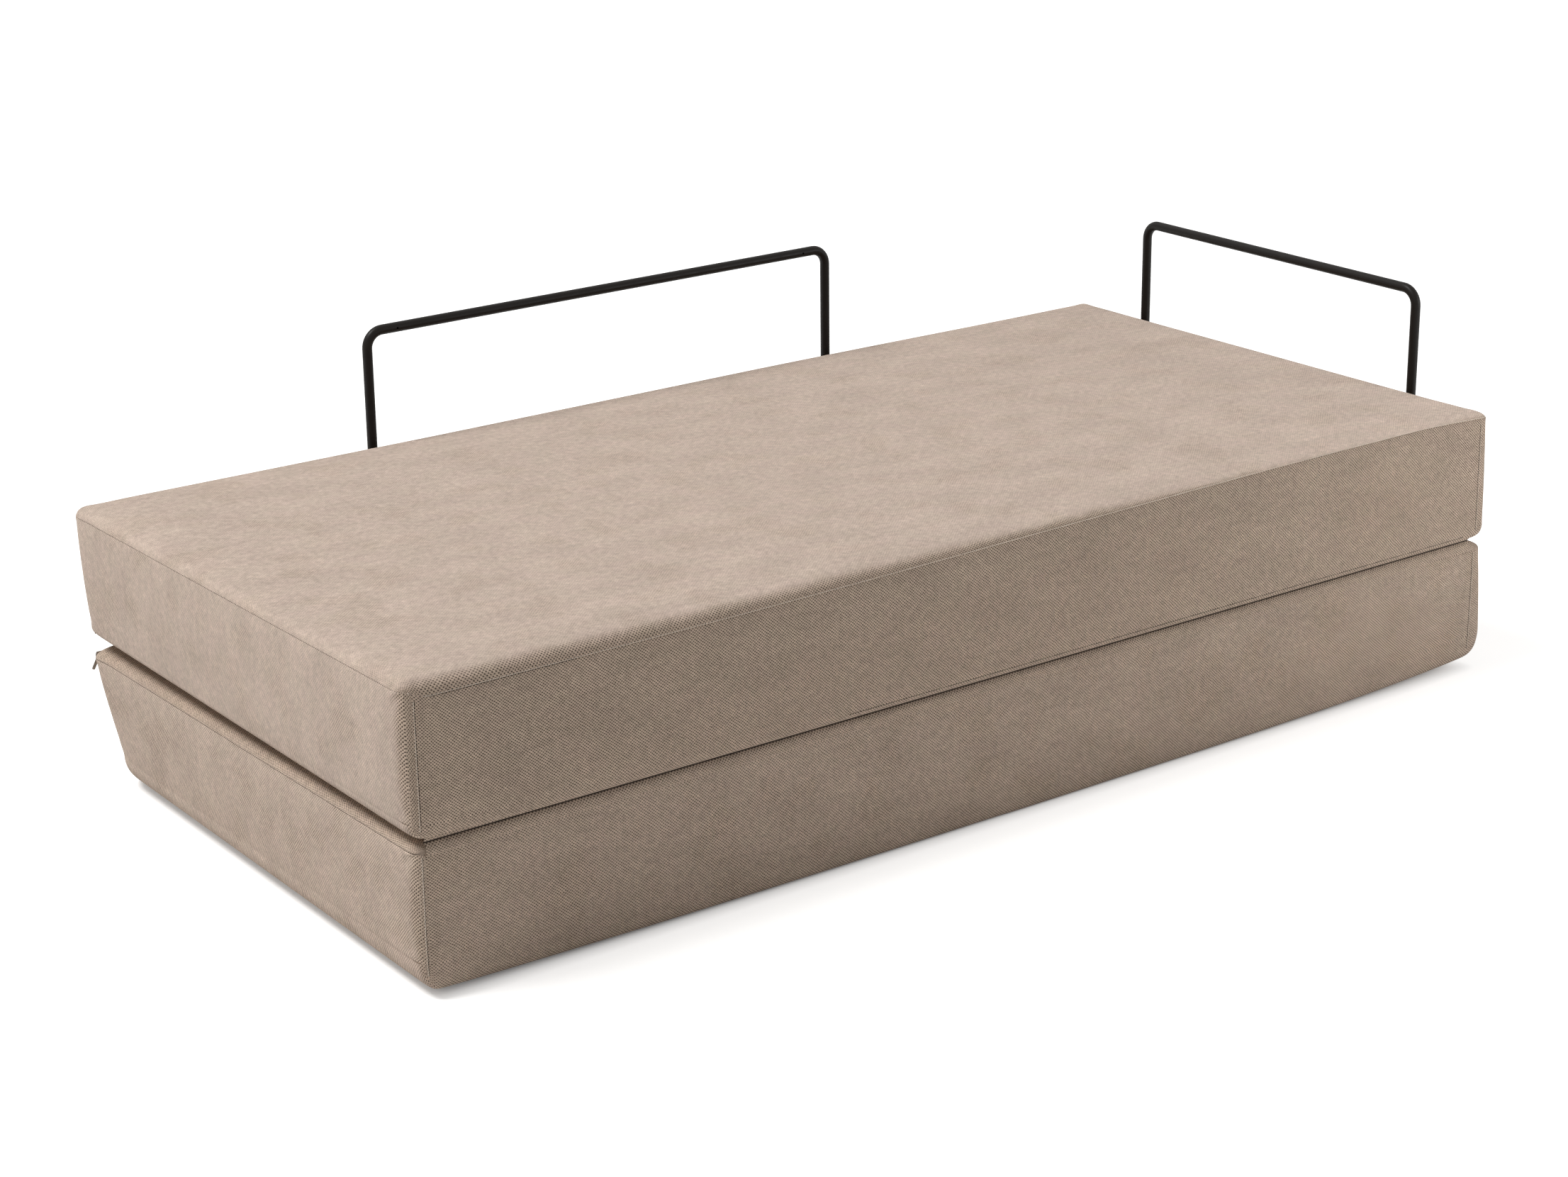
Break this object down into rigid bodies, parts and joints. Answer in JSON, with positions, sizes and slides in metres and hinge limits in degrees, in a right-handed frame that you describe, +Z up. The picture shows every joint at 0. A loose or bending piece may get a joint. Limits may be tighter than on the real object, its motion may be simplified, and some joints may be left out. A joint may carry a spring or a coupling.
{
  "type": "folding sofa bed",
  "caption": "Low sofa bed of thick boxed foam mattresses in woven covers, the upper one folding forward to make a bed, with slim bent-tube back and side rails on flat feet.",
  "frame": {"origin": "on the floor, under the middle of the lower mattress", "axes": "+X along the front towards the side rail, +Y from the front to the back rail, +Z up"},
  "size_m": [2.051, 1.0113, 0.626],
  "materials": {
    "cover_fabric": "coarse open plain weave in greige yarn, matte",
    "zip_tape": "fine herringbone tape, matte",
    "zip_coil": "moulded nylon coil, satin",
    "zip_metal": "plated, dull",
    "wadding": "soft bonded fibre",
    "firm_foam": "cut open-cell foam",
    "soft_foam": "cut open-cell foam",
    "rail_steel": "satin powder coat",
    "foot_steel": "satin powder coat",
    "fastener_steel": "zinc plated",
    "pad_felt": "pressed felt"
  },
  "bodies": {
    "lower_mattress": {"lower_cover": "cover_fabric", "lower_zip_tape": "zip_tape", "lower_zip_coil": "zip_coil", "lower_zip_stops": "zip_metal", "lower_wadding": "wadding", "lower_foam_core": "firm_foam", "lower_bottom_foam": "soft_foam", "lower_top_foam": "soft_foam", "lower_fold_leaf": "cover_fabric"},
    "upper_mattress": {"upper_cover": "cover_fabric", "upper_zip_tape": "zip_tape", "upper_zip_coil": "zip_coil", "upper_zip_stops": "zip_metal", "upper_wadding": "wadding", "upper_foam_core": "firm_foam", "upper_bottom_foam": "soft_foam", "upper_top_foam": "soft_foam", "upper_fold_leaf": "cover_fabric"},
    "lower_zip_slider": {"lower_zip_slider": "zip_metal"},
    "lower_zip_pull": {"lower_zip_pull": "zip_metal"},
    "upper_zip_slider": {"upper_zip_slider": "zip_metal"},
    "upper_zip_pull": {"upper_zip_pull": "zip_metal"},
    "back_rail": {"back_rail_tube": "rail_steel", "back_rail_left_foot": "foot_steel", "back_rail_right_foot": "foot_steel", "back_rail_inserts": "fastener_steel", "back_rail_screws": "fastener_steel", "back_rail_floor_pads": "pad_felt"},
    "side_rail": {"side_rail_tube": "rail_steel", "side_rail_front_foot": "foot_steel", "side_rail_rear_foot": "foot_steel", "side_rail_inserts": "fastener_steel", "side_rail_screws": "fastener_steel", "side_rail_floor_pads": "pad_felt"}
  },
  "joints": [
    {"name": "bed_fold", "type": "hinge", "parent": "lower_mattress", "child": "upper_mattress", "pos_m": [0, -0.482, 0.22515], "axis": [1, 0, 0], "range_deg": [0, 180]},
    {"name": "lower_zip_slide", "type": "slide", "parent": "lower_mattress", "child": "lower_zip_slider", "axis": [1, 0, 0], "range_m": [0, 1.967]},
    {"name": "lower_pull_swing", "type": "hinge", "parent": "lower_zip_slider", "child": "lower_zip_pull", "pos_m": [-0.9837, 0.4873, 0.205], "axis": [1, 0, 0], "range_deg": [0, 170]},
    {"name": "upper_zip_slide", "type": "slide", "parent": "upper_mattress", "child": "upper_zip_slider", "axis": [-1, 0, 0], "range_m": [0, 1.967]},
    {"name": "upper_pull_swing", "type": "hinge", "parent": "upper_zip_slider", "child": "upper_zip_pull", "pos_m": [0.9837, 0.4873, 0.2453], "axis": [1, 0, 0], "range_deg": [0, 170]},
    {"name": "back_rail_slide", "type": "slide", "parent": "lower_mattress", "child": "back_rail", "axis": [0, 1, 0], "range_m": [0, 0.4]},
    {"name": "side_rail_slide", "type": "slide", "parent": "lower_mattress", "child": "side_rail", "axis": [1, 0, 0], "range_m": [0, 0.32]}
  ]
}
